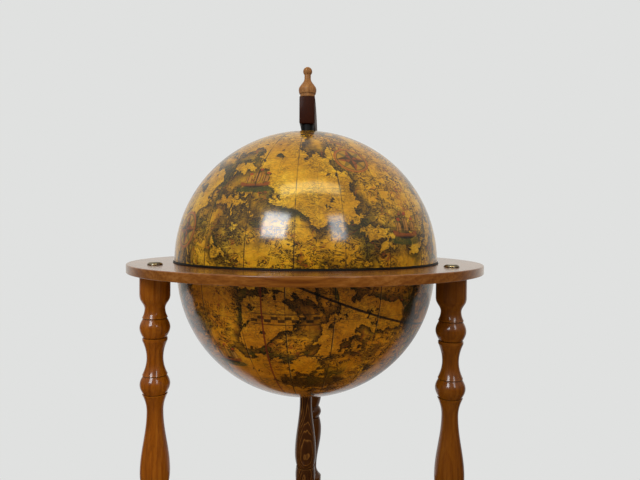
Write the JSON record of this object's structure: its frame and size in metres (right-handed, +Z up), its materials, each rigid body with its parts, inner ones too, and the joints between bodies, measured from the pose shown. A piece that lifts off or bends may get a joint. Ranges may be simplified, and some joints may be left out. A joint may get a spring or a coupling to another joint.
{
  "type": "globe bar",
  "caption": "Floor-standing globe bar: a map globe whose upper half swings back on a hinged wooden arc over a drinks insert, on turned legs with a shelf and castors.",
  "frame": {"origin": "on the floor, on the globe's vertical axis", "axes": "+Z up; -Y is the front, towards the camera of the picture; +Y is the back, where the hinge is; +X to the right"},
  "size_m": [0.531, 0.531, 0.9308],
  "materials": {
    "map_print": "printed paper under gloss varnish on a moulded wood-fibre shell",
    "leg_wood": "turned beech, brown stain, gloss lacquer",
    "ring_wood": "beech board, reddish brown stain, satin lacquer",
    "deck_wood": "flat board, brown stain, satin lacquer",
    "dark_wood": "beech, dark brown stain, gloss lacquer",
    "pale_wood": "unstained beech, thin lacquer",
    "black_rim": "black moulded plastic, satin",
    "bronze": "bronzed brass, satin",
    "brass": "polished brass",
    "steel": "zinc-plated steel",
    "castor_wheel": "dark brown nylon"
  },
  "bodies": {
    "root": {"horizon_ring": "ring_wood", "left_leg": "leg_wood", "right_leg": "leg_wood", "rear_leg": "leg_wood", "left_leg_bolt": "bronze", "right_leg_bolt": "bronze", "rear_leg_bolt": "bronze", "lower_shelf": "ring_wood", "left_foot_rod": "steel", "right_foot_rod": "steel", "rear_foot_rod": "steel", "left_foot": "leg_wood", "right_foot": "leg_wood", "rear_foot": "leg_wood", "lower_hemisphere": "map_print", "bowl_rim": "black_rim", "bar_deck": "deck_wood", "glass_shelf": "deck_wood", "bottle_floor": "deck_wood", "insert_post_1": "pale_wood", "insert_post_2": "pale_wood", "insert_post_3": "pale_wood", "central_column": "dark_wood", "bowl_washer": "steel", "bowl_bolt": "steel", "column_screw": "steel", "hinge_lower_leaf": "brass", "hinge_pin": "brass", "ring_hinge_screw_1": "brass", "ring_hinge_screw_2": "brass", "left_castor_socket": "brass", "right_castor_socket": "brass", "rear_castor_socket": "brass"},
    "lid": {"meridian_arc": "dark_wood", "pole_rod": "steel", "pole_spacer": "black_rim", "pole_washer": "steel", "pole_nut": "steel", "finial": "pale_wood", "hinge_upper_leaf": "brass", "arc_hinge_screw_1": "brass", "arc_hinge_screw_2": "brass"},
    "dome": {"upper_hemisphere": "map_print", "dome_band": "dark_wood"},
    "left_castor": {"left_castor_fork": "brass", "left_castor_axle": "steel"},
    "left_wheel": {"left_castor_wheel": "castor_wheel"},
    "right_castor": {"right_castor_fork": "brass", "right_castor_axle": "steel"},
    "right_wheel": {"right_castor_wheel": "castor_wheel"},
    "rear_castor": {"rear_castor_fork": "brass", "rear_castor_axle": "steel"},
    "rear_wheel": {"rear_castor_wheel": "castor_wheel"}
  },
  "joints": [
    {"name": "lid_hinge", "type": "hinge", "parent": "root", "child": "lid", "pos_m": [0, 0.2509, 0.6324], "axis": [-1, 0, 0], "range_deg": [0, 90]},
    {"name": "dome_spin", "type": "hinge", "parent": "lid", "child": "dome", "pos_m": [0, 0, 0.8287], "axis": [0, 0, 1], "continuous": true},
    {"name": "left_castor_swivel", "type": "hinge", "parent": "root", "child": "left_castor", "pos_m": [-0.19971, -0.1153, 0.05], "axis": [0, 0, 1], "continuous": true},
    {"name": "left_wheel_roll", "type": "hinge", "parent": "left_castor", "child": "left_wheel", "pos_m": [-0.2101, -0.1213, 0.017], "axis": [0.5, -0.866, 0], "continuous": true},
    {"name": "right_castor_swivel", "type": "hinge", "parent": "root", "child": "right_castor", "pos_m": [0.19971, -0.1153, 0.05], "axis": [0, 0, 1], "continuous": true},
    {"name": "right_wheel_roll", "type": "hinge", "parent": "right_castor", "child": "right_wheel", "pos_m": [0.2101, -0.1213, 0.017], "axis": [0.5, 0.866, 0], "continuous": true},
    {"name": "rear_castor_swivel", "type": "hinge", "parent": "root", "child": "rear_castor", "pos_m": [0, 0.2306, 0.05], "axis": [0, 0, 1], "continuous": true},
    {"name": "rear_wheel_roll", "type": "hinge", "parent": "rear_castor", "child": "rear_wheel", "pos_m": [0, 0.2426, 0.017], "axis": [-1, 0, 0], "continuous": true}
  ]
}
